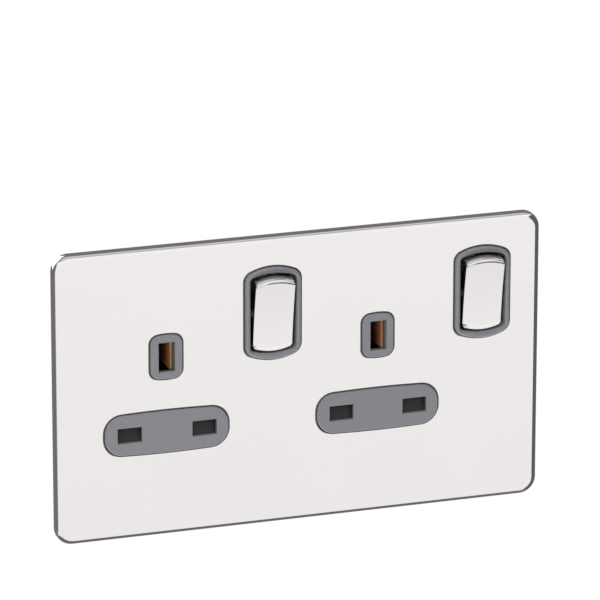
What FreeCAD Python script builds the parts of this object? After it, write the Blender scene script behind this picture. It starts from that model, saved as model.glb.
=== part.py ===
# Twin switched mains socket with a screwless steel front plate, one solid for each piece, in millimetres.
# Frame: +Z up, the wall is the plane y = 0 and the room lies on the -Y side.
# The origin is midway between the two fixing holes, so +X is to the right as seen from the room.
import FreeCAD, Part
import math
import os
from FreeCAD import Vector

# Front plate, a pressed steel tray that hides the fixing screws
plate_width = 146.0
plate_height = 86.0
plate_projection = 5.0
plate_sheet = 0.8
plate_corner = 5.0
plate_edge = 1.65
plate_wall_gap = 2.2
aperture_gap = 0.25
aperture_edge = 0.35

# Layout as seen from the room
gang_pitch = 63.5
left_socket_x = -40.0
socket_to_switch = 31.75
earth_z = 10.5
switch_z = 20.4
pin_pitch = 22.23
fixing_spacing = 120.6

# Pin slots and the raised grey islands round them
earth_slot_width = 4.9
earth_slot_height = 8.75
line_slot_width = 7.3
line_slot_height = 4.55
earth_island_width = 9.5
earth_island_height = 13.15
earth_island_arch = 0.7
earth_island_corner = 2.6
line_island_width = 36.8
line_island_height = 12.45
line_island_arch = 0.5
line_island_corner = 5.2
island_rise = 0.5
island_edge = 0.3
island_wall = 1.2

# Raised bezel round each rocker
bezel_width = 16.65
bezel_height = 27.4
bezel_arch = 2.4
bezel_corner = 3.0
bezel_rise = 1.1
bezel_round = 0.65
opening_width = 13.7
opening_height = 23.8
opening_arch = 1.2
opening_corner = 1.2
collar_wall = 0.65
collar_depth = 2.6

# Rocker with its polished cap, drawn about the pivot and tipped by the tilt
pivot_depth = 1.25
rocker_tilt = 9.0
rocker_width = 11.7
rocker_radius = 11.6
rocker_arch = 1.2
rocker_corner = 1.0
rocker_reach = 2.3
rocker_back = 1.0
rocker_hollow = 147.0
rocker_wall = 1.5
cap_sheet = 0.5
cap_skirt = 2.2
cap_edge = 0.3
lip_height = 0.3
lip_foot = 10.0
lip_flank_angle = 60.0
cap_fit = 0.03
cap_notch_gap = 0.2
trunnion_radius = 1.3
trunnion_reach = 1.6
trunnion_fit = 0.05
stem_radius = 2.7
stem_length = 5.4

# Sprung plunger inside the rocker's stem
plunger_radius = 1.6
plunger_fit = 0.05
plunger_gap = 0.08
plunger_spring_length = 2.6
plunger_spring_turns = 3
plunger_spring_wire = 0.2

# Front moulding and the earth strap behind it
moulding_web = 2.5
moulding_gap = 0.1
moulding_rim_gap = 0.6
moulding_rim_wall = 2.4
moulding_edge = 0.5
moulding_inner_corner = 2.4
fixing_hole_radius = 2.1
fixing_head_radius = 4.1
fixing_head_depth = 2.2
fixing_boss_radius = 5.2

# Rear housing
housing_width = 130.0
housing_height = 69.0
housing_depth = 20.0
housing_wall = 1.5
housing_back = 2.0
housing_corner = 3.0
housing_chamfer = 1.2
lug_notch_depth = 11.5
lug_notch_height = 11.0

# Shutter, its spring and the plate that keeps them in
shutter_width = 35.0
shutter_height = 6.0
shutter_thickness = 2.4
shutter_cover = 0.6
shutter_travel = 5.3
shutter_clearance = 0.3
ramp_lip = 0.4
shutter_spring_width = 3.2
shutter_spring_depth = 1.2
shutter_spring_sheet = 0.25
shutter_spring_folds = 8
shutter_spring_length = 12.0
keeper_width = 42.4
keeper_thickness = 1.4
keeper_margin = 1.2
keeper_tail_width = 8.0
keeper_peg_radius = 0.9
keeper_peg_spread = 38.8

# Contacts, stamped from copper alloy strip
strip = 1.0
strip_width = 5.0
jaw_leaf = 0.65
jaw_gap = 3.5
line_jaw_flare = 0.6
jaw_flare_length = 2.4
earth_jaw_flare = 0.15
earth_jaw_depth = 3.3
earth_jaw_height = 9.6
earth_jaw_length = 10.0
line_jaw_width = 7.0
line_jaw_front = 4.2
earth_strap_height = 8.0
earth_leg_x = -8.0
earth_tab_height = 6.75
neutral_rail_drop = 2.6
strip_clearance = 0.5

# Switch see-saw
blade_front = 8.0
blade_sheet = 0.8
blade_width = 6.0
blade_reach = 8.4
rivet_radius = 1.4
rivet_height = 0.6
rivet_offset = 7.0
contact_gap = 0.05
feed_front = 11.5
fulcrum_half_angle = 30.0

# Terminals and screws
terminal_width = 9.0
terminal_height = 8.0
terminal_bore = 2.3
terminal_screw_radius = 1.9
terminal_screw_head = 2.6
terminal_head_height = 1.4
terminal_window_gap = 0.6
line_terminal_z = 28.0
lower_terminal_z = -27.5
neutral_terminal_x = -19.5
earth_terminal_pitch = 10.0
screw_radius = 1.45
screw_head_radius = 2.6
screw_head_height = 1.5
screw_fit = 0.05
screw_tip_depth = 2.2
screw_boss_radius = 3.2
screw_boss_front = 3.0
screw_slot_width = 0.8
screw_slot_depth = 0.7
screw_head_chamfer = 0.35
screw_spread_x = 58.0
screw_spread_z = 28.5
middle_screw = (33.0, 20.0)

# Leaf springs that grip the plate's rim from inside
clip_length = 14.0
clip_width = 1.0
clip_sheet = 0.3
clip_pocket = 0.8
clip_gap = 0.05

# Depths and places that follow from the sizes above
plate_face = -plate_projection
island_face = plate_face - island_rise
bezel_crest = plate_face - bezel_rise
web_front = plate_face + plate_sheet + moulding_gap
web_back = web_front + moulding_web
pocket_floor = island_face + island_wall
pivot_y = plate_face + pivot_depth
blade_pivot_y = blade_front + blade_sheet
feed_back = feed_front + strip
fulcrum_strip_back = feed_front - strip_clearance
fulcrum_strip_front = fulcrum_strip_back - strip
housing_floor = housing_depth - housing_back
wire_y = housing_floor - terminal_bore - screw_fit
line_z = earth_z - pin_pitch
moulding_width = plate_width - 2 * (plate_sheet + moulding_rim_gap)
moulding_height = plate_height - 2 * (plate_sheet + moulding_rim_gap)
moulding_corner = plate_corner - plate_sheet - moulding_rim_gap
clip_y = plate_face + plate_edge + clip_width / 2 + clip_gap
sides = {"left": left_socket_x, "right": left_socket_x + gang_pitch}
screw_places = [(-screw_spread_x, screw_spread_z), (-screw_spread_x, -screw_spread_z),
                (screw_spread_x, -screw_spread_z), middle_screw]
neutral_rail_top = line_z - line_slot_height / 2 - neutral_rail_drop
shutter_top = line_z + line_slot_height / 2 + shutter_cover
spring_floor = shutter_top - shutter_height - shutter_spring_length
X, Y, Z = Vector(1, 0, 0), Vector(0, 1, 0), Vector(0, 0, 1)
FAR = 400.0


def span(x0, x1, y0, y1, z0, z1):
    """A box between two corners."""
    return Part.makeBox(x1 - x0, y1 - y0, z1 - z0, Vector(x0, y0, z0))


def block(x, z, width, height, front, back):
    """A box centred on (x, z) that runs from front to back."""
    return span(x - width / 2, x + width / 2, front, back, z - height / 2, z + height / 2)


def rod(x, z, radius, front, back):
    """A round bar along Y."""
    return Part.makeCylinder(radius, back - front, Vector(x, front, z), Y)


def along_y(shape):
    """The straight edges of a prism that run from front to back."""
    straight = [edge for edge in shape.Edges if edge.Curve.TypeId == "Part::GeomLine"]
    return [edge for edge in straight if abs(edge.tangentAt(edge.FirstParameter).y) > 0.999]


def rim_at(shape, y):
    """The edges that lie in the plane at depth y."""
    near = 0.01
    return [e for e in shape.Edges if abs(e.BoundBox.YMin - y) < near and abs(e.BoundBox.YMax - y) < near]


def rounded(x, z, width, height, corner, front, back):
    """A block with its four long edges rounded."""
    prism = block(x, z, width, height, front, back)
    return prism.makeFillet(corner, along_y(prism))


def arched_wire(width, height, arch, y):
    """A rectangle at depth y whose top and bottom bow out by arch."""
    half, crown = width / 2, height / 2
    shoulder = crown - arch
    outline = [
        Part.LineSegment(Vector(half, y, -shoulder), Vector(half, y, shoulder)),
        Part.Arc(Vector(half, y, shoulder), Vector(0, y, crown), Vector(-half, y, shoulder)),
        Part.LineSegment(Vector(-half, y, shoulder), Vector(-half, y, -shoulder)),
        Part.Arc(Vector(-half, y, -shoulder), Vector(0, y, -crown), Vector(half, y, -shoulder)),
    ]
    return Part.Wire([curve.toShape() for curve in outline])


def arched(x, z, width, height, arch, corner, front, back):
    """A rounded block whose top and bottom bow out by arch."""
    prism = Part.Face(arched_wire(width, height, arch, front)).extrude(Y * (back - front))
    prism.translate(Vector(x, 0, z))
    return prism.makeFillet(corner, along_y(prism))


def prism(points, direction):
    """A polygon drawn through points and pushed along direction."""
    return Part.Face(Part.makePolygon(points + points[:1])).extrude(direction)


def coil(radius, wire, length, turns):
    """A square-wire spring along +Z that stands on the origin."""
    run = length - 2 * wire
    helix = Part.makeHelix(run / turns, run, radius)
    square = ((-1, -1), (1, -1), (1, 1), (-1, 1))
    corners = [Vector(radius + across * wire, 0, up * wire) for across, up in square]
    section = Part.makePolygon(corners + corners[:1])
    spring = Part.Wire(helix.Edges).makePipeShell([section], True, True)
    spring.translate(Z * wire)
    return spring


def earth_island(x, grow, front, back):
    """The outline of the island round an earth slot, grown by a gap."""
    return arched(x, earth_z, earth_island_width + 2 * grow, earth_island_height + 2 * grow,
                  earth_island_arch, earth_island_corner + grow, front, back)


def line_island(x, grow, front, back):
    """The outline of the island round the live and neutral slots, grown by a gap."""
    return arched(x, line_z, line_island_width + 2 * grow, line_island_height + 2 * grow,
                  line_island_arch, line_island_corner + grow, front, back)


def bezel_outline(x, grow, front, back):
    """The outside of the bezel round a rocker, grown by a gap."""
    return arched(x, switch_z, bezel_width + 2 * grow, bezel_height + 2 * grow,
                  bezel_arch, bezel_corner + grow, front, back)


def rocker_opening(x, grow, front, back):
    """The hole that a rocker sits in, grown by a wall."""
    return arched(x, switch_z, opening_width + 2 * grow, opening_height + 2 * grow,
                  opening_arch, opening_corner + grow, front, back)


def slots(x, grow, front, back):
    """The three pin slots of one socket."""
    cuts = [block(x, earth_z, earth_slot_width + grow, earth_slot_height + grow, front, back)]
    for side in (-1, 1):
        cuts.append(block(x + side * pin_pitch / 2, line_z, line_slot_width + grow,
                          line_slot_height + grow, front, back))
    return cuts


def clip_places():
    """Where the leaf springs sit: a point on the moulding's rim and the turn about Y that faces it out."""
    across, up = moulding_width / 2, moulding_height / 2
    quarter = moulding_width / 4
    places = [(turn * quarter, up, 0) for turn in (-1, 1)]
    places += [(turn * quarter, -up, 180) for turn in (-1, 1)]
    return places + [(across, 0, 90), (-across, 0, 270)]


def at_clip(shape, place):
    """Moves a shape drawn on the moulding's top edge to one of the clip places."""
    x, z, turn = place
    shape.rotate(Vector(0, 0, 0), Y, turn)
    shape.translate(Vector(x, clip_y, z))
    return shape


def front_plate():
    """The steel tray, with its face rolled into the rim and an aperture for each island and bezel."""
    tray = rounded(0, 0, plate_width, plate_height, plate_corner, plate_face, -plate_wall_gap)
    tray = tray.makeFillet(plate_edge, rim_at(tray, plate_face))
    inside = plate_face + plate_sheet
    core = rounded(0, 0, plate_width - 2 * plate_sheet, plate_height - 2 * plate_sheet,
                   plate_corner - plate_sheet, inside, 0)
    tray = tray.cut(core.makeChamfer(plate_edge - plate_sheet, rim_at(core, inside)))
    for x in sides.values():
        for aperture in (earth_island, line_island):
            tray = tray.cut(aperture(x, aperture_gap, plate_face, inside))
        tray = tray.cut(bezel_outline(x + socket_to_switch, aperture_gap, plate_face, inside))
    across, up = plate_width / 2 - plate_corner, plate_height / 2 - plate_corner
    lips = [edge for edge in rim_at(tray, plate_face)
            if abs(edge.CenterOfMass.x) < across and abs(edge.CenterOfMass.z) < up]
    return tray.makeFillet(aperture_edge, lips)


def front_moulding():
    """The grey moulding: islands, bezels, rocker collars, shutter pockets and the fixing holes."""
    body = rounded(0, 0, moulding_width, moulding_height, moulding_corner, web_front, 0)
    body = body.makeChamfer(moulding_edge, rim_at(body, web_front))
    hollow = rounded(0, 0, moulding_width - 2 * moulding_rim_wall, moulding_height - 2 * moulding_rim_wall,
                     moulding_inner_corner, web_back, 0)
    body = body.cut(hollow)
    added, removed = [], []
    for x in sides.values():
        for island in (earth_island, line_island):
            raised = island(x, 0, island_face, web_front)
            added.append(raised.makeChamfer(island_edge, rim_at(raised, island_face)))
        switch_x = x + socket_to_switch
        ring = bezel_outline(switch_x, 0, bezel_crest, web_front).cut(
            rocker_opening(switch_x, 0, bezel_crest, web_front))
        added.append(ring.makeFillet(bezel_round, rim_at(ring, bezel_crest)))
        added.append(rocker_opening(switch_x, collar_wall, web_back, web_back + collar_depth))
        removed.append(rocker_opening(switch_x, 0, bezel_crest, web_back + collar_depth))
        pivot_span = rocker_width / 2 + trunnion_reach + trunnion_fit
        removed.append(Part.makeCylinder(trunnion_radius + trunnion_fit, 2 * pivot_span,
                                         Vector(switch_x - pivot_span, pivot_y, switch_z), X))
        removed += slots(x, 0, island_face, web_back)
        removed += shutter_pocket(x) + [earth_pocket(x)]
        added += [rod(x + peg, peg_z, keeper_peg_radius, web_back, web_back + keeper_thickness)
                  for peg, peg_z in keeper_pegs()]
    for side in (-1, 1):
        x = side * fixing_spacing / 2
        added.append(rod(x, 0, fixing_boss_radius, web_back, 0))
        removed.append(rod(x, 0, fixing_hole_radius, web_front, 0))
        removed.append(rod(x, 0, fixing_head_radius, web_front, web_front + fixing_head_depth))
    for x, z in screw_places:
        added.append(rod(x, z, screw_boss_radius, web_back, screw_boss_front))
        removed.append(rod(x, z, screw_radius + screw_fit, -screw_tip_depth - screw_fit, screw_boss_front))
    pocket_width = clip_width + 2 * clip_gap
    for place in clip_places():
        removed.append(at_clip(span(-clip_length / 2 - clip_sheet, clip_length / 2 + clip_sheet,
                                    -pocket_width / 2, pocket_width / 2, -clip_pocket, clip_pocket), place))
    return body.multiFuse(added).cut(Part.makeCompound(removed)).removeSplitter()


def shutter_pocket(x):
    """The room behind one line island for the shutter's travel, with a channel for its spring."""
    bottom = shutter_top - shutter_height - shutter_travel - shutter_clearance
    room = span(x - shutter_width / 2 - shutter_clearance, x + shutter_width / 2 + shutter_clearance,
                pocket_floor, web_back, bottom, shutter_top + shutter_clearance)
    reach = shutter_spring_width / 2 + shutter_clearance
    return [room, span(x - reach, x + reach, pocket_floor, web_back, spring_floor, bottom)]


def earth_pocket(x):
    """The room behind one earth island for the earth contact's mouth."""
    reach = jaw_gap / 2 + earth_jaw_flare + jaw_leaf + shutter_clearance
    top = earth_z + earth_jaw_height / 2 + shutter_clearance
    bottom = earth_z - earth_jaw_height / 2 - shutter_clearance
    return span(x - reach, x + reach, pocket_floor, web_back, bottom, top)


def keeper_pegs():
    """The two pegs beside a shutter that its keeper is staked on, from the socket's centre line."""
    return [(side * keeper_peg_spread / 2, shutter_top - shutter_height) for side in (-1, 1)]


def shutter(x):
    """The slider behind the live and neutral slots, with a ramp for each pin."""
    front = pocket_floor + (web_back - pocket_floor - shutter_thickness) / 2
    back = front + shutter_thickness
    bottom = shutter_top - shutter_height
    slider = span(x - shutter_width / 2, x + shutter_width / 2, front, back, bottom, shutter_top)
    ramp_foot = line_z - line_slot_height / 2
    section = [(front, ramp_foot), (front, shutter_top), (back - ramp_lip, shutter_top)]
    for side in (-1, 1):
        left = x + side * pin_pitch / 2 - line_slot_width / 2
        ramp = [Vector(left, y, z) for y, z in section]
        slider = slider.cut(prism(ramp, X * line_slot_width))
    return slider


def shutter_spring(x):
    """The zigzag leaf that lifts the shutter back."""
    half = shutter_spring_width / 2
    run = shutter_spring_length - shutter_spring_sheet
    front = (pocket_floor + web_back - shutter_spring_depth) / 2
    bends = [Vector(x - half * (-1) ** fold, front, spring_floor + run * fold / shutter_spring_folds)
             for fold in range(shutter_spring_folds + 1)]
    rise = Z * shutter_spring_sheet
    leaves = [prism([low, high, high + rise, low + rise], Y * shutter_spring_depth)
              for low, high in zip(bends, bends[1:])]
    return leaves[0].multiFuse(leaves[1:]).removeSplitter()


def shutter_keeper(x):
    """The staked plate that holds the shutter and spring in their pocket, with a window for each pin."""
    top = shutter_top + shutter_clearance + keeper_margin
    bottom = shutter_top - shutter_height - shutter_travel - shutter_clearance - keeper_margin
    front, back = web_back, web_back + keeper_thickness
    plate = span(x - keeper_width / 2, x + keeper_width / 2, front, back, bottom, top)
    tail = span(x - keeper_tail_width / 2, x + keeper_tail_width / 2, front, back,
                spring_floor - keeper_margin, bottom)
    holes = slots(x, keeper_margin, front, back)[1:]
    holes += [rod(x + peg, peg_z, keeper_peg_radius + screw_fit, front, back) for peg, peg_z in keeper_pegs()]
    return plate.fuse(tail).cut(Part.makeCompound(holes)).removeSplitter()


def barrel(inset):
    """The barrel round the pivot's axis that the rocker is cut from, inset by a wall."""
    half = rocker_width / 2 - inset
    crown = rocker_radius - inset
    shoulder = crown - rocker_arch
    outline = [
        Part.makeLine(Vector(-half, 0, 0), Vector(-half, shoulder, 0)),
        Part.Arc(Vector(-half, shoulder, 0), Vector(0, crown, 0), Vector(half, shoulder, 0)).toShape(),
        Part.makeLine(Vector(half, shoulder, 0), Vector(half, 0, 0)),
        Part.makeLine(Vector(half, 0, 0), Vector(-half, 0, 0)),
    ]
    form = Part.Face(Part.Wire(outline)).revolve(Vector(0, 0, 0), X, 360)
    rings = [edge for edge in form.Edges
             if edge.Curve.TypeId == "Part::GeomCircle" and abs(edge.Curve.Axis.x) > abs(edge.Curve.Axis.z)]
    return form.makeFillet(rocker_corner - inset, rings)


def dish(reach):
    """The hollow roller that dishes the rocker's front at a reach from the pivot."""
    return Part.makeCylinder(rocker_hollow, FAR, Vector(-FAR / 2, -reach - rocker_hollow, 0), X)


def dished_panel():
    """The dish between the lips, whose ends follow the barrel's bow and slope up to the lips."""
    slope = math.tan(math.radians(lip_flank_angle))
    foot_rise = rocker_hollow - math.sqrt(rocker_hollow ** 2 - lip_foot ** 2)
    rings = []
    for rise in (0, rocker_reach):
        height = 2 * (lip_foot + slope * (rise - foot_rise))
        rings.append(arched_wire(rocker_width + rocker_corner, height, rocker_arch, -rocker_reach - rise))
    return Part.makeLoft(rings, True, True).common(dish(rocker_reach))


def in_switch(shape, x):
    """Tips a shape drawn about the pivot to the ON side and carries it to its switch."""
    shape.rotate(Vector(0, 0, 0), X, rocker_tilt)
    shape.translate(Vector(x + socket_to_switch, pivot_y, switch_z))
    return shape


def rocker_cap(x):
    """The polished metal cap over the rocker's front, ends and sides, notched over the trunnions."""
    skirt_end = -rocker_reach + cap_skirt
    form = barrel(0).cut(dish(rocker_reach + lip_height))
    form = form.common(block(0, 0, FAR, FAR, -FAR, skirt_end))
    crest = [face for face in form.Faces if face.Surface.TypeId == "Part::GeomCylinder"]
    form = form.makeFillet(cap_edge, crest[0].Edges).cut(dished_panel())
    notch = trunnion_radius + cap_notch_gap
    form = form.cut(Part.makeCylinder(notch, FAR, Vector(-FAR / 2, 0, 0), X))
    return in_switch(form.cut(barrel(cap_sheet).cut(dish(rocker_reach - cap_sheet))), x)


def rocker(x):
    """The moulded rocker under the cap, with its trunnions and the stem that holds the plunger."""
    inset = cap_sheet + cap_fit
    half = rocker_width / 2 - inset
    end_radius = rocker_radius - rocker_arch - rocker_corner / 2 - inset
    front = -rocker_reach + inset
    body = Part.makeCylinder(end_radius, 2 * half, Vector(-half, 0, 0), X)
    body = body.common(block(0, 0, FAR, FAR, front, rocker_back))
    pocket_width, pocket_height = 2 * (half - rocker_wall), 2 * end_radius - 3 * rocker_wall
    body = body.cut(block(0, 0, pocket_width, pocket_height, front + rocker_wall, rocker_back))
    axle = rocker_width / 2 + trunnion_reach
    body = body.multiFuse([rod(0, 0, stem_radius, front + rocker_wall / 2, stem_length),
                           Part.makeCylinder(trunnion_radius, 2 * axle, Vector(-axle, 0, 0), X)])
    bore = rod(0, 0, plunger_radius + plunger_fit, spring_seat(), stem_length)
    return in_switch(body.cut(bore).removeSplitter(), x)


def plunger_reach():
    """How far the plunger's tip is from the rocker's pivot."""
    return blade_front - plunger_gap - pivot_y


def spring_seat():
    """The floor of the stem's bore, measured from the rocker's pivot."""
    return -trunnion_radius / 2


def plunger(x):
    """The round-nosed plunger that slides in the rocker's stem."""
    foot = spring_seat() + plunger_spring_length
    nose = plunger_reach() - plunger_radius
    pin = rod(0, 0, plunger_radius, foot, nose)
    return in_switch(pin.fuse(Part.makeSphere(plunger_radius, Vector(0, nose, 0))).removeSplitter(), x)


def plunger_spring(x):
    """The coil between the stem's bore and the plunger."""
    radius = plunger_radius - 2 * plunger_spring_wire
    spring = coil(radius, plunger_spring_wire, plunger_spring_length, plunger_spring_turns)
    spring.rotate(Vector(0, 0, 0), X, -90)
    spring.translate(Y * spring_seat())
    return in_switch(spring, x)


def moving_contact(x):
    """The see-saw blade under the plunger, tipped against the fixed contact."""
    blade = block(0, 0, blade_width, 2 * blade_reach, -blade_sheet, 0)
    blade = blade.makeFillet(strip, along_y(blade)).fuse(rod(0, rivet_offset, rivet_radius, 0, rivet_height))
    blade.rotate(Vector(0, 0, 0), X, -rocker_tilt)
    blade.translate(Vector(x + socket_to_switch, blade_pivot_y, switch_z))
    return blade.removeSplitter()


def fixed_contact_face():
    """The depth of the fixed contact's face, just clear of the tipped rivet's upper edge."""
    tilt = math.radians(rocker_tilt)
    touch = rivet_height * math.cos(tilt) + (rivet_offset + rivet_radius) * math.sin(tilt)
    return blade_pivot_y + touch + contact_gap


def line_jaws(bridge_side, back):
    """Two leaves that grip a flat pin from above and below, joined by a bridge on one side of it."""
    leaves = []
    mouth = line_jaw_front + jaw_flare_length
    half = jaw_gap / 2
    for side in (-1, 1):
        inner = [(line_jaw_front, half + line_jaw_flare), (mouth, half), (back, half)]
        outer = [(y, gap + jaw_leaf) for y, gap in reversed(inner)]
        corners = [Vector(-line_jaw_width / 2, y, side * gap) for y, gap in inner + outer]
        leaves.append(prism(corners, X * line_jaw_width))
    bridge_x = bridge_side * (line_jaw_width - jaw_leaf) / 2
    leaves.append(block(bridge_x, 0, jaw_leaf, jaw_gap + 2 * jaw_leaf, mouth, back))
    return leaves[0].multiFuse(leaves[1:])


def line_contact(x):
    """The live jaws with the strip that climbs to the see-saw's fulcrum."""
    pin_x = x + pin_pitch / 2
    jaws = line_jaws(1, fulcrum_strip_back)
    jaws.translate(Vector(pin_x, 0, line_z))
    left = pin_x + line_jaw_width / 2 - jaw_leaf
    low = line_z - jaw_gap / 2 - jaw_leaf
    arm_low, arm_high = switch_z - strip_width / 2, switch_z + strip_width / 2
    switch_x = x + socket_to_switch
    climb = span(left, left + strip_width, fulcrum_strip_front, fulcrum_strip_back, low, arm_high)
    arm = span(left, switch_x + blade_width / 2, fulcrum_strip_front, fulcrum_strip_back, arm_low, arm_high)
    tip = blade_pivot_y + contact_gap
    ridge_foot = (fulcrum_strip_front - tip) * math.tan(math.radians(fulcrum_half_angle))
    first = switch_x - blade_width / 2
    ridge = prism([Vector(first, tip, switch_z), Vector(first, fulcrum_strip_front, switch_z + ridge_foot),
                   Vector(first, fulcrum_strip_front, switch_z - ridge_foot)], X * blade_width)
    return jaws.multiFuse([climb, arm, ridge]).removeSplitter()


def line_feed():
    """The live bar along the top that carries a fixed contact for each see-saw."""
    contact_z = switch_z + rivet_offset
    ends = [x + socket_to_switch for x in sides.values()]
    bar = span(ends[0] - blade_width / 2, ends[1] + blade_width / 2, feed_front, feed_back,
               contact_z - strip_width / 2, line_terminal_z + terminal_height / 2)
    pads = [rod(x, contact_z, rivet_radius, fixed_contact_face(), feed_front) for x in ends]
    return bar.multiFuse(pads).removeSplitter()


def neutral_bar():
    """The rail below the sockets with both neutral jaws and a tab for its terminal."""
    pins = [x - pin_pitch / 2 for x in sides.values()]
    inner_edges = [pin - line_jaw_width / 2 + jaw_leaf for pin in pins]
    rail_low = neutral_rail_top - strip_width
    pieces = [span(inner_edges[0] - strip_width, inner_edges[1], feed_front, feed_back,
                   rail_low, neutral_rail_top)]
    for pin, edge in zip(pins, inner_edges):
        jaws = line_jaws(-1, feed_back)
        jaws.translate(Vector(pin, 0, line_z))
        pieces += [jaws, span(edge - strip_width, edge, feed_front, feed_back,
                              neutral_rail_top, line_z + jaw_gap / 2 + jaw_leaf)]
    pieces.append(span(neutral_terminal_x - strip_width / 2, neutral_terminal_x + strip_width / 2,
                       feed_front, feed_back, lower_terminal_z - terminal_height / 2, rail_low))
    return pieces[0].multiFuse(pieces[1:]).removeSplitter()


def earth_contact(x):
    """A channel of two leaves that grips the upright earth pin, with one leaf brought down to the strap."""
    half = jaw_gap / 2
    front = island_face + earth_jaw_depth
    back = front + earth_jaw_length
    mouth = front + jaw_flare_length
    low, high = earth_z - earth_jaw_height / 2, earth_z + earth_jaw_height / 2
    leaves = []
    for side in (-1, 1):
        inner = [(front, half + earth_jaw_flare), (mouth, half), (back, half)]
        outer = [(y, gap + jaw_leaf) for y, gap in reversed(inner)]
        corners = [Vector(x + side * gap, y, low) for y, gap in inner + outer]
        leaves.append(prism(corners, Z * earth_jaw_height))
    leaves.append(block(x, high - jaw_leaf / 2, jaw_gap + 2 * jaw_leaf, jaw_leaf, mouth, back))
    leaves.append(span(x - half - jaw_leaf, x - half, web_back, back, 0, low))
    return leaves[0].multiFuse(leaves[1:])


def earth_terminal_places():
    """The two earth terminals, side by side at the foot of the strap's leg."""
    return {"left": earth_leg_x, "right": earth_leg_x + earth_terminal_pitch}


def earth_strap():
    """The strap behind the moulding with both earth contacts and a leg to the earth terminals."""
    first, last = sides["left"], sides["right"]
    half = jaw_gap / 2 + jaw_leaf
    front, back = web_back, web_back + strip
    low = lower_terminal_z - terminal_height / 2
    leg_left, leg_right = earth_leg_x - terminal_width / 2, earth_leg_x + terminal_width / 2
    foot_right = leg_right + earth_terminal_pitch
    pieces = [earth_contact(x) for x in sides.values()]
    pieces += [
        span(first - half, last + half, front, back, -earth_strap_height / 2, earth_strap_height / 2),
        span(leg_left, leg_right, front, back, low, 0),
        span(leg_left, foot_right, front, feed_back, low - strip, low),
        span(leg_left, foot_right, feed_front, feed_back, low, low + earth_tab_height),
    ]
    return pieces[0].multiFuse(pieces[1:]).removeSplitter()


def terminal_places():
    """Every terminal's place by node name."""
    places = {"line_terminal": (sides["right"], line_terminal_z),
              "neutral_terminal": (neutral_terminal_x, lower_terminal_z)}
    for side, x in earth_terminal_places().items():
        places["earth_terminal_" + side] = (x, lower_terminal_z)
    return places


def terminal(x, z):
    """A brass pillar with a cross bore for the wires and a tapped hole from behind."""
    pillar = block(x, z, terminal_width, terminal_height, feed_back, housing_depth)
    bore = Part.makeCylinder(terminal_bore, terminal_height, Vector(x, wire_y, z - terminal_height / 2), Z)
    tapped = rod(x, z, terminal_screw_radius + screw_fit, wire_y, housing_depth)
    pillar = pillar.makeChamfer(terminal_window_gap, rim_at(pillar, housing_depth))
    return pillar.cut(bore).cut(tapped)


def slotted_screw(x, z, radius, tip, seat, head_radius, head_height):
    """A screw along Y with its slotted head towards the back."""
    shank = rod(x, z, radius, tip, seat)
    top = seat + head_height
    head = rod(x, z, head_radius, seat, top)
    head = head.makeChamfer(screw_head_chamfer, rim_at(head, top))
    slot = block(x, z, 2 * head_radius, screw_slot_width, top - screw_slot_depth, top)
    return shank.fuse(head).cut(slot).removeSplitter()


def terminal_screws():
    """The four terminal screws, driven from behind."""
    tip = wire_y + terminal_bore
    return Part.makeCompound([slotted_screw(x, z, terminal_screw_radius, tip, housing_depth,
                                            terminal_screw_head, terminal_head_height)
                              for x, z in terminal_places().values()])


def assembly_screws():
    """The screws that hold the rear housing to the front moulding."""
    seat = housing_depth - screw_head_height
    return Part.makeCompound([slotted_screw(x, z, screw_radius, -screw_tip_depth, seat,
                                            screw_head_radius, screw_head_height) for x, z in screw_places])


def plate_clips():
    """Bowed leaf springs in the moulding's rim that grip the front plate."""
    half = clip_length / 2
    foot, shoulder = -clip_pocket, clip_sheet - clip_pocket
    crown = moulding_rim_gap - clip_gap
    clips = []
    for place in clip_places():
        outline = [
            Part.Arc(Vector(-half, 0, shoulder), Vector(0, 0, crown), Vector(half, 0, shoulder)),
            Part.LineSegment(Vector(half, 0, shoulder), Vector(half, 0, foot)),
            Part.Arc(Vector(half, 0, foot), Vector(0, 0, crown - clip_sheet), Vector(-half, 0, foot)),
            Part.LineSegment(Vector(-half, 0, foot), Vector(-half, 0, shoulder)),
        ]
        leaf = Part.Face(Part.Wire([curve.toShape() for curve in outline])).extrude(Y * clip_width)
        leaf.translate(Y * -clip_width / 2)
        clips.append(at_clip(leaf, place))
    return Part.makeCompound(clips)


def housing_outline(inset, front, back):
    """The rear housing's plan, notched at mid-height for the wall box's lugs."""
    outline = rounded(0, 0, housing_width - 2 * inset, housing_height - 2 * inset,
                      housing_corner - inset, front, back)
    for side in (-1, 1):
        x = side * (housing_width - lug_notch_depth) / 2
        notch = block(x, 0, lug_notch_depth + 2 * inset, lug_notch_height + 2 * inset, front, back)
        outline = outline.cut(notch)
    return outline


def pedestals():
    """Posts on the housing's floor that carry the strips and stop the see-saws."""
    posts = []
    for x in sides.values():
        switch_x = x + socket_to_switch
        climb_x = x + pin_pitch / 2 + line_jaw_width / 2 - jaw_leaf + strip_width / 2
        posts += [
            (switch_x, switch_z, blade_width, strip_width, fulcrum_strip_back),
            (climb_x, line_z, strip_width, strip_width, fulcrum_strip_back),
            (switch_x, switch_z + rivet_offset, blade_width, strip_width, feed_back),
            (x - pin_pitch / 2, neutral_rail_top - strip_width / 2, strip_width, strip_width, feed_back),
        ]
    return [block(x, z, width, height, front, housing_floor) for x, z, width, height, front in posts]


def terminal_window(x, z):
    """The notch through the housing's back and nearest edge that frees one terminal and its wires."""
    outer = math.copysign(housing_height / 2, z)
    inner = z - math.copysign(terminal_height / 2 + terminal_window_gap, z)
    half = terminal_width / 2 + terminal_window_gap
    return span(x - half, x + half, feed_back, housing_depth, min(inner, outer), max(inner, outer))


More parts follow.
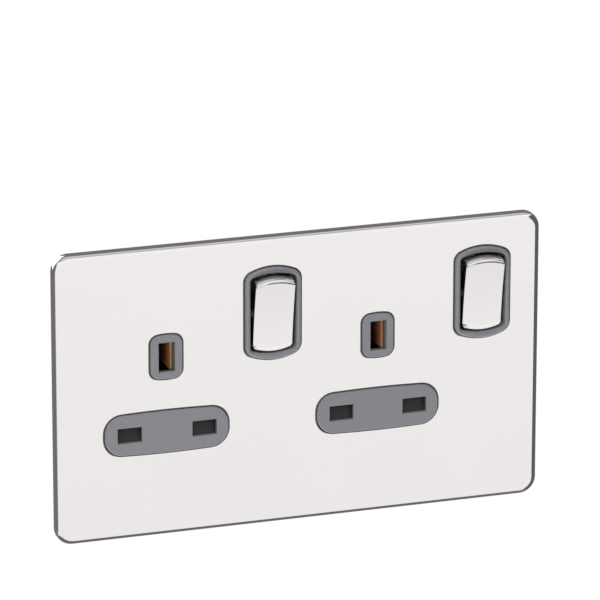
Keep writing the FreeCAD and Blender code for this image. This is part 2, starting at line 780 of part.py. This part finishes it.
def rear_housing():
    """The moulded box behind the wall plane that carries the contacts."""
    shell = housing_outline(0, web_back, housing_depth)
    shell = shell.makeChamfer(housing_chamfer, rim_at(shell, housing_depth))
    shell = shell.cut(housing_outline(housing_wall, web_back, housing_floor))
    bosses = [rod(x, z, screw_boss_radius, screw_boss_front, housing_floor) for x, z in screw_places]
    shell = shell.multiFuse(pedestals() + bosses)
    holes = [terminal_window(x, z) for x, z in terminal_places().values()]
    seat = housing_depth - screw_head_height
    for x, z in screw_places:
        holes.append(rod(x, z, screw_radius + screw_fit, screw_boss_front, seat))
        holes.append(rod(x, z, screw_head_radius + screw_fit, seat, housing_depth))
    return shell.cut(Part.makeCompound(holes)).removeSplitter()


pieces = {
    "front_plate": front_plate(),
    "front_moulding": front_moulding(),
    "rear_housing": rear_housing(),
    "plate_clips": plate_clips(),
    "assembly_screws": assembly_screws(),
    "line_feed": line_feed(),
    "neutral_bar": neutral_bar(),
    "earth_strap": earth_strap(),
    "terminal_screws": terminal_screws(),
}
pieces.update({name: terminal(*place) for name, place in terminal_places().items()})
per_gang = [rocker, rocker_cap, plunger, plunger_spring, moving_contact, line_contact,
            shutter, shutter_spring, shutter_keeper]
for side, socket_x in sides.items():
    pieces.update({make.__name__ + "_" + side: make(socket_x) for make in per_gang})

os.makedirs("parts", exist_ok=True)
for name, shape in pieces.items():
    shape.exportStep("parts/" + name + ".step")
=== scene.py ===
"""Looks of a twin switched wall socket with a screwless polished steel plate.

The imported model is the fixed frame. Each operator below finishes one kind of piece, seats the springs
or sets the stage.
"""

import math

import bpy
from mathutils import Matrix, Vector


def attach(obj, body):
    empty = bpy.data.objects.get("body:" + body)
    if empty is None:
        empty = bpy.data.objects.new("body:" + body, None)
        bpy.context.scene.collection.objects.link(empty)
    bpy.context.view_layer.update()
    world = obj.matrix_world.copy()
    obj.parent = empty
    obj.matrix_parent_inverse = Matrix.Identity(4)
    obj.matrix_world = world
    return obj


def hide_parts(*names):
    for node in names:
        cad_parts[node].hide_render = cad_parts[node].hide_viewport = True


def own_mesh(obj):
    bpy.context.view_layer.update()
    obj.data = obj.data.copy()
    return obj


bl_info = {
    "name": "Twin Socket Finish",
    "version": (1, 0, 0),
    "blender": (4, 5, 0),
    "location": "View3D > Sidebar > Socket",
    "description": "Finishes the pieces of a twin switched wall socket and sets its studio",
    "category": "Material",
}

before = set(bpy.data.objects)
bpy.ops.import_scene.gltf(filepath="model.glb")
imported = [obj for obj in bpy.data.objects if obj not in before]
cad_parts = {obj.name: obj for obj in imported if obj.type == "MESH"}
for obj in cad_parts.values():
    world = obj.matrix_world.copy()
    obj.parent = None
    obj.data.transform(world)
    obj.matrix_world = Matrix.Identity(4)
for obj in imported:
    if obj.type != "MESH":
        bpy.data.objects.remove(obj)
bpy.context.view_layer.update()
MM = 0.001
SIDES = ("left", "right")
PICTURE_PIXELS = 600

WHEEL_MARK_MM = 9.0
WHEEL_STRETCH = (1, 12, 12)
HAZE_MM = 35.0
FLOW_MM = 14.0
TARNISH_MM = 6.0
ROLLING_STRETCH = (1, 1, 0.06)
ROLLING_RELIEF_MM = 0.02

FLOOR_SIZE = 12.0
DIFFUSE_LEVEL = 0.2
# The studio that the metal mirrors, as the z of a direction and the grey that lies there.
STUDIO_TONES = (
    (-1.0, 0.13), (-0.76, 0.14), (-0.7, 0.86), (-0.47, 0.95), (-0.34, 0.935), (-0.28, 0.98),
    (-0.18, 1.0), (0.64, 1.0), (0.7, 0.42), (0.8, 0.42), (0.88, 0.68), (1.0, 0.68))
# The dark cloths in it, as the way to each, where it starts and is full along that way, and its grey.
DARK_CLOTHS = (
    ((0, 1, 0), -0.15, 0.15, 0.18),
    ((0.93, -0.3, -0.2), 0.67, 0.74, 0.12),
    ((-1, 0, 0), 0.72, 0.88, 0.17))
CLOTH_WARMTH = (1, 0.98, 0.96)


def linear(hex_colour):
    """An sRGB hex colour as linear red, green and blue."""
    channels = [int(hex_colour[i:i + 2], 16) / 255 for i in (1, 3, 5)]
    return tuple(c / 12.92 if c <= 0.04045 else ((c + 0.055) / 1.055) ** 2.4 for c in channels)


def add_node(tree, kind, links=(), **settings):
    """Adds a shader node, sets its properties or inputs by name, and links (input, output) pairs."""
    node = tree.nodes.new(kind)
    for name, value in settings.items():
        if hasattr(node, name):
            setattr(node, name, value)
        else:
            node.inputs[name.replace("_", " ")].default_value = value
    for socket, output in links:
        tree.links.new(node.inputs[socket], output)
    return node


class SocketFinishSettings(bpy.types.PropertyGroup):
    """Colours of the pieces."""

    steel: bpy.props.FloatVectorProperty(
        name="Polished steel", description="Reflection colour of the plate and the rocker caps",
        subtype="COLOR", size=3, min=0, max=1, default=linear("#F3F0EF"))
    insert: bpy.props.FloatVectorProperty(
        name="Grey insert", description="Colour of the front moulding",
        subtype="COLOR", size=3, min=0, max=1, default=linear("#7F8084"))
    housing: bpy.props.FloatVectorProperty(
        name="Rear housing", description="Colour of the moulded back",
        subtype="COLOR", size=3, min=0, max=1, default=linear("#5B5D60"))
    shutter: bpy.props.FloatVectorProperty(
        name="Shutter", description="Colour of the shutters, their keepers and the rockers under the caps",
        subtype="COLOR", size=3, min=0, max=1, default=linear("#201C1C"))
    nylon: bpy.props.FloatVectorProperty(
        name="Nylon", description="Colour of the plungers",
        subtype="COLOR", size=3, min=0, max=1, default=linear("#DDD9CE"))
    copper: bpy.props.FloatVectorProperty(
        name="Contact strip", description="Colour of the stamped contacts",
        subtype="COLOR", size=3, min=0, max=1, default=linear("#F0B487"))
    silver: bpy.props.FloatVectorProperty(
        name="Switch contact", description="Colour of the plated strip of the switches' contacts",
        subtype="COLOR", size=3, min=0, max=1, default=linear("#D8D4CC"))
    brass: bpy.props.FloatVectorProperty(
        name="Terminal brass", description="Colour of the terminals",
        subtype="COLOR", size=3, min=0, max=1, default=linear("#D9B56A"))
    zinc: bpy.props.FloatVectorProperty(
        name="Plated screws", description="Colour of the screws",
        subtype="COLOR", size=3, min=0, max=1, default=linear("#C9C7BC"))
    spring: bpy.props.FloatVectorProperty(
        name="Spring steel", description="Colour of the springs and clips",
        subtype="COLOR", size=3, min=0, max=1, default=linear("#A9A7A4"))


class SocketStudioSettings(bpy.types.PropertyGroup):
    """The studio and the camera."""

    azimuth: bpy.props.FloatProperty(
        name="Azimuth", description="Where the camera stands round the plate",
        subtype="ANGLE", default=math.radians(-18.71))
    elevation: bpy.props.FloatProperty(
        name="Elevation", description="How far the camera looks down",
        subtype="ANGLE", default=math.radians(18.34))
    roll: bpy.props.FloatProperty(
        name="Roll", description="Turn of the camera about its line of sight",
        subtype="ANGLE", default=math.radians(0.06))
    distance: bpy.props.FloatProperty(
        name="Distance", description="From the camera to the middle of the plate's face",
        subtype="DISTANCE", unit="LENGTH", default=1.5)
    focal_pixels: bpy.props.FloatProperty(
        name="Focal length", description="Focal length in pixels of the picture's width of 600",
        default=5248.0)
    target: bpy.props.FloatVectorProperty(
        name="Target", description="The point on the plate that the camera is set by",
        subtype="TRANSLATION", unit="LENGTH", size=3, default=(-0.4 * MM, -5.5 * MM, 0.35 * MM))
    target_pixel: bpy.props.FloatVectorProperty(
        name="Target pixel", description="Where that point lies in the picture, from its top left",
        size=2, default=(299.45, 377.44))
    floor_drop: bpy.props.FloatProperty(
        name="Floor", description="From the plate's middle down to the floor",
        subtype="DISTANCE", unit="LENGTH", default=1.1)


def settings():
    return bpy.context.scene.socket_finish


def studio():
    return bpy.context.scene.socket_studio


def start_material(name):
    """A material with only its shader and output."""
    material = bpy.data.materials.new(name)
    material.use_nodes = True
    tree = material.node_tree
    tree.nodes.clear()
    shader = add_node(tree, "ShaderNodeBsdfPrincipled")
    add_node(tree, "ShaderNodeOutputMaterial", [("Surface", shader.outputs["BSDF"])])
    return material, tree, shader


def per_metre(size_mm):
    """The scale that gives a pattern features of that size."""
    return 1 / (size_mm * MM)


def dress(names, material):
    """Gives nodes a material in place of the plain one from the frame."""
    for name in names:
        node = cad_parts[name]
        node.data.materials.clear()
        node.data.materials.append(material)


def both_sides(*stems):
    return [stem + "_" + side for stem in stems for side in SIDES]


def polished_steel(colour):
    """Stainless steel, buffed to a mirror: faint wheel marks blur its reflections a little."""
    material, tree, shader = start_material("buffed_stainless_steel")
    place = add_node(tree, "ShaderNodeTexCoord").outputs["Object"]
    stretched = add_node(tree, "ShaderNodeMapping", [("Vector", place)], Scale=WHEEL_STRETCH)
    wheel = add_node(tree, "ShaderNodeTexNoise", [("Vector", stretched.outputs["Vector"])],
                     Scale=per_metre(WHEEL_MARK_MM), Detail=3.0)
    haze = add_node(tree, "ShaderNodeTexNoise", [("Vector", place)], Scale=per_metre(HAZE_MM), Detail=2.0)
    blur = add_node(tree, "ShaderNodeMapRange", [("Value", wheel.outputs["Fac"])],
                    From_Min=0.3, From_Max=0.7, To_Min=0.05, To_Max=0.085)
    tint = add_node(tree, "ShaderNodeMixRGB", [("Fac", haze.outputs["Fac"])],
                    Color1=(*colour, 1), Color2=(*[c * 0.975 for c in colour], 1))
    shader.inputs["Metallic"].default_value = 1.0
    tree.links.new(shader.inputs["Base Color"], tint.outputs["Color"])
    tree.links.new(shader.inputs["Roughness"], blur.outputs["Result"])
    return material


def moulded(name, colour, roughness, grit_mm, relief_mm, mottle):
    """A thermoset or nylon moulding from a spark-eroded tool: an even satin with a fine grit."""
    material, tree, shader = start_material(name)
    place = add_node(tree, "ShaderNodeTexCoord").outputs["Object"]
    grit = add_node(tree, "ShaderNodeTexNoise", [("Vector", place)], Scale=per_metre(grit_mm), Detail=2.0)
    flow = add_node(tree, "ShaderNodeTexNoise", [("Vector", place)], Scale=per_metre(FLOW_MM), Detail=3.0)
    tint = add_node(tree, "ShaderNodeMixRGB", [("Fac", flow.outputs["Fac"])],
                    Color1=(*[c * (1 + mottle) for c in colour], 1),
                    Color2=(*[c * (1 - mottle) for c in colour], 1))
    sheen = add_node(tree, "ShaderNodeMapRange", [("Value", grit.outputs["Fac"])],
                     From_Min=0.25, From_Max=0.75, To_Min=roughness - 0.05, To_Max=roughness + 0.05)
    bump = add_node(tree, "ShaderNodeBump", [("Height", grit.outputs["Fac"])],
                    Strength=0.35, Distance=relief_mm * MM)
    tree.links.new(shader.inputs["Base Color"], tint.outputs["Color"])
    tree.links.new(shader.inputs["Roughness"], sheen.outputs["Result"])
    tree.links.new(shader.inputs["Normal"], bump.outputs["Normal"])
    return material


def rolled_strip(name, colour, tarnish, metallic, roughness, line_mm):
    """Rolled or drawn metal: fine lines along the rolling way and patches of tarnish."""
    material, tree, shader = start_material(name)
    place = add_node(tree, "ShaderNodeTexCoord").outputs["Object"]
    stretched = add_node(tree, "ShaderNodeMapping", [("Vector", place)], Scale=ROLLING_STRETCH)
    lines = add_node(tree, "ShaderNodeTexNoise", [("Vector", stretched.outputs["Vector"])],
                     Scale=per_metre(line_mm), Detail=3.0)
    patches = add_node(tree, "ShaderNodeTexNoise", [("Vector", place)],
                       Scale=per_metre(TARNISH_MM), Detail=4.0)
    tint = add_node(tree, "ShaderNodeMixRGB", [("Fac", patches.outputs["Fac"])],
                    Color1=(*colour, 1), Color2=(*tarnish, 1))
    sheen = add_node(tree, "ShaderNodeMapRange", [("Value", lines.outputs["Fac"])],
                     From_Min=0.3, From_Max=0.7, To_Min=roughness - 0.08, To_Max=roughness + 0.1)
    bump = add_node(tree, "ShaderNodeBump", [("Height", lines.outputs["Fac"])],
                    Strength=0.3, Distance=ROLLING_RELIEF_MM * MM)
    shader.inputs["Metallic"].default_value = metallic
    tree.links.new(shader.inputs["Base Color"], tint.outputs["Color"])
    tree.links.new(shader.inputs["Roughness"], sheen.outputs["Result"])
    tree.links.new(shader.inputs["Normal"], bump.outputs["Normal"])
    return material


class SOCKET_OT_polish_steel(bpy.types.Operator):
    """Polishes the front plate and the rocker caps"""

    bl_idname = "socket.polish_steel"
    bl_label = "Polish Steel"

    def execute(self, context):
        dress(["front_plate"] + both_sides("rocker_cap"), polished_steel(settings().steel))
        return {"FINISHED"}


class SOCKET_OT_finish_mouldings(bpy.types.Operator):
    """Finishes the grey moulding, the rockers, the housing, the shutters and the plungers"""

    bl_idname = "socket.finish_mouldings"
    bl_label = "Finish Mouldings"

    def execute(self, context):
        colours = settings()
        dress(["front_moulding"], moulded("urea_insert", colours.insert, roughness=0.3,
                                          grit_mm=0.5, relief_mm=0.003, mottle=0.012))
        dress(["rear_housing"], moulded("urea_housing", colours.housing, roughness=0.45,
                                        grit_mm=0.7, relief_mm=0.03, mottle=0.03))
        dress(both_sides("rocker", "shutter", "shutter_keeper"),
              moulded("nylon_shutter", colours.shutter, roughness=0.5,
                      grit_mm=0.5, relief_mm=0.02, mottle=0.05))
        dress(both_sides("plunger"), moulded("nylon_plunger", colours.nylon, roughness=0.4,
                                             grit_mm=0.4, relief_mm=0.01, mottle=0.02))
        return {"FINISHED"}


class SOCKET_OT_finish_metalwork(bpy.types.Operator):
    """Finishes the contacts, terminals, screws, springs and clips"""

    bl_idname = "socket.finish_metalwork"
    bl_label = "Finish Metalwork"

    def execute(self, context):
        colours = settings()
        dress(["neutral_bar", "earth_strap"] + both_sides("line_contact"),
              rolled_strip("phosphor_bronze_strip", colours.copper, linear("#B87C55"),
                           metallic=0.4, roughness=0.45, line_mm=0.3))
        dress(["line_feed"] + both_sides("moving_contact"),
              rolled_strip("silver_plated_strip", colours.silver, linear("#A8A39B"),
                           metallic=0.4, roughness=0.45, line_mm=0.3))
        dress(["line_terminal", "neutral_terminal", "earth_terminal_left", "earth_terminal_right"],
              rolled_strip("drawn_brass", colours.brass, linear("#A8853F"),
                           metallic=1.0, roughness=0.28, line_mm=0.35))
        dress(["terminal_screws", "assembly_screws"],
              rolled_strip("zinc_plated_steel", colours.zinc, linear("#A5A08A"),
                           metallic=1.0, roughness=0.32, line_mm=0.4))
        dress(["plate_clips"] + both_sides("plunger_spring", "shutter_spring"),
              rolled_strip("spring_steel", colours.spring, linear("#7C7A78"),
                           metallic=1.0, roughness=0.3, line_mm=0.3))
        return {"FINISHED"}


class SOCKET_OT_seat_springs(bpy.types.Operator):
    """Stands a coil in for each packed spring, on the body that carries it"""

    bl_idname = "socket.seat_springs"
    bl_label = "Seat Springs"

    def execute(self, context):
        for side in SIDES:
            self.seat("plunger", side, "rocker_" + side, "plunger_" + side + "_press")
            self.seat("shutter", side, "socket", "shutter_" + side + "_slide")
        return {"FINISHED"}

    def seat(self, stem, side, body, joint_name):
        """Copies a spring into a coil on the body and hides the spring."""
        spring = stem + "_spring_" + side
        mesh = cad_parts[spring].data.copy()
        coil = bpy.data.objects.new(stem + "_coil_" + side, mesh)
        bpy.context.scene.collection.objects.link(coil)
        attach(coil, body)
        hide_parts(spring)
        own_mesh(coil)


def by_height(tree, height, stops):
    """Grey values from straight down to straight up, as (z of the direction, value) pairs."""
    node = add_node(tree, "ShaderNodeValToRGB", [("Fac", height)])
    ramp = node.color_ramp
    while len(ramp.elements) < len(stops):
        ramp.elements.new(0.5)
    for element, (z, value) in zip(ramp.elements, stops):
        element.position = (z + 1) / 2
        element.color = (value, value, value, 1)
    return node.outputs["Color"]


def studio_world():
    """White for the camera, a low even light for the pieces and, in the metal, the studio round the plate.

    That studio has a white sweep in front, a dim ceiling and floor, and dark cloths behind, left and right.
    """
    world = bpy.data.worlds.new("studio")
    bpy.context.scene.world = world
    world.use_nodes = True
    tree = world.node_tree
    tree.nodes.clear()
    towards = add_node(tree, "ShaderNodeTexCoord").outputs["Generated"]
    up = add_node(tree, "ShaderNodeSeparateXYZ", [("Vector", towards)]).outputs["Z"]
    height = add_node(tree, "ShaderNodeMapRange", [("Value", up)], From_Min=-1.0).outputs["Result"]
    mirrored = by_height(tree, height, STUDIO_TONES)
    for way, start, full, grey in DARK_CLOTHS:
        along = add_node(tree, "ShaderNodeVectorMath", [(0, towards)], operation="DOT_PRODUCT")
        along.inputs[1].default_value = way
        share = add_node(tree, "ShaderNodeMapRange", [("Value", along.outputs["Value"])],
                         From_Min=start, From_Max=full)
        mixed = add_node(tree, "ShaderNodeMixRGB", [("Fac", share.outputs["Result"]), ("Color1", mirrored)],
                         Color2=(*[grey * c for c in CLOTH_WARMTH], 1))
        mirrored = mixed.outputs["Color"]
    path = add_node(tree, "ShaderNodeLightPath").outputs
    plain = add_node(tree, "ShaderNodeMixRGB", [("Fac", path["Is Camera Ray"])],
                     Color1=(DIFFUSE_LEVEL, DIFFUSE_LEVEL, DIFFUSE_LEVEL, 1), Color2=(1, 1, 1, 1))
    seen = add_node(tree, "ShaderNodeMixRGB", [
        ("Fac", path["Is Glossy Ray"]), ("Color1", plain.outputs["Color"]), ("Color2", mirrored)])
    light = add_node(tree, "ShaderNodeBackground", [("Color", seen.outputs["Color"])])
    add_node(tree, "ShaderNodeOutputWorld", [("Surface", light.outputs["Background"])])


def white_floor():
    """A matt white floor that the camera sees as plain white."""
    material, tree, shader = start_material("matt_white_paint")
    shader.inputs["Roughness"].default_value = 0.9
    shader.inputs["Base Color"].default_value = (*linear("#EEEEEE"), 1)
    glow = add_node(tree, "ShaderNodeEmission")
    path = add_node(tree, "ShaderNodeLightPath").outputs
    mix = add_node(tree, "ShaderNodeMixShader", [("Fac", path["Is Camera Ray"])])
    tree.links.new(mix.inputs[1], shader.outputs["BSDF"])
    tree.links.new(mix.inputs[2], glow.outputs["Emission"])
    tree.links.new(tree.nodes["Material Output"].inputs["Surface"], mix.outputs["Shader"])
    return material


def area_lamp(name, place, size, power, mirrored):
    """A square soft box that points at the plate, and shows in glossy pieces where it is mirrored."""
    data = bpy.data.lights.new(name, "AREA")
    data.size = size
    data.energy = power
    lamp = bpy.data.objects.new(name, data)
    lamp.location = place
    lamp.rotation_mode = "QUATERNION"
    lamp.rotation_quaternion = (-Vector(place)).to_track_quat("-Z", "Y")
    lamp.visible_glossy = mirrored
    bpy.context.scene.collection.objects.link(lamp)


class SOCKET_OT_set_stage(bpy.types.Operator):
    """Sets the floor, the light and the camera"""

    bl_idname = "socket.set_stage"
    bl_label = "Set Stage"

    def execute(self, context):
        view = studio()
        bpy.ops.mesh.primitive_plane_add(size=FLOOR_SIZE, location=(0, 0, -view.floor_drop))
        floor = context.object
        floor.name = "floor"
        floor.data.materials.append(white_floor())
        floor.visible_glossy = False
        studio_world()
        area_lamp("light_table", place=(0.1, -0.15, -1.0), size=1.0, power=20.0, mirrored=False)
        area_lamp("top_box", place=(-0.2, -0.2, 1.0), size=1.0, power=9.0, mirrored=False)
        area_lamp("left_box", place=(-0.75, -0.9, 0.2), size=0.6, power=6.5, mirrored=False)
        area_lamp("back_box", place=(-0.75, 1.1, 0.65), size=1.4, power=15.0, mirrored=True)
        self.set_camera(context, view)
        context.scene.view_settings.view_transform = "Standard"
        return {"FINISHED"}

    def set_camera(self, context, view):
        """Stands the camera off from its target and turns it so that the target falls on its pixel."""
        data = bpy.data.cameras.new("camera")
        data.lens = view.focal_pixels / PICTURE_PIXELS * data.sensor_width
        camera = bpy.data.objects.new("camera", data)
        flat = math.cos(view.elevation)
        back = Vector((math.sin(view.azimuth) * flat, -math.cos(view.azimuth) * flat,
                       math.sin(view.elevation)))
        across = (view.target_pixel[0] - PICTURE_PIXELS / 2) / view.focal_pixels
        down = (view.target_pixel[1] - PICTURE_PIXELS / 2) / view.focal_pixels
        look = (-back).to_track_quat("-Z", "Y").to_matrix().to_4x4()
        look = look @ Matrix.Rotation(view.roll, 4, "Z") @ Matrix.Rotation(math.atan(down), 4, "X")
        look = look @ Matrix.Rotation(math.atan(across), 4, "Y")
        camera.matrix_world = Matrix.Translation(Vector(view.target) + back * view.distance) @ look
        context.scene.collection.objects.link(camera)
        context.scene.camera = camera


class SOCKET_PT_finish(bpy.types.Panel):
    """Lists the operators in the sidebar"""

    bl_idname = "SOCKET_PT_finish"
    bl_label = "Twin Socket"
    bl_space_type = "VIEW_3D"
    bl_region_type = "UI"
    bl_category = "Socket"

    def draw(self, context):
        for operator in STEPS:
            self.layout.operator(operator.bl_idname)


STEPS = (SOCKET_OT_polish_steel, SOCKET_OT_finish_mouldings, SOCKET_OT_finish_metalwork,
         SOCKET_OT_seat_springs, SOCKET_OT_set_stage)
CLASSES = (SocketFinishSettings, SocketStudioSettings, *STEPS, SOCKET_PT_finish)


def register():
    for cls in CLASSES:
        bpy.utils.register_class(cls)
    bpy.types.Scene.socket_finish = bpy.props.PointerProperty(type=SocketFinishSettings)
    bpy.types.Scene.socket_studio = bpy.props.PointerProperty(type=SocketStudioSettings)


def unregister():
    del bpy.types.Scene.socket_studio
    del bpy.types.Scene.socket_finish
    for cls in reversed(CLASSES):
        bpy.utils.unregister_class(cls)


def main():
    """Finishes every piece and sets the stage."""
    register()
    bpy.ops.socket.polish_steel()
    bpy.ops.socket.finish_mouldings()
    bpy.ops.socket.finish_metalwork()
    bpy.ops.socket.seat_springs()
    bpy.ops.socket.set_stage()


if __name__ == "__main__":
    main()
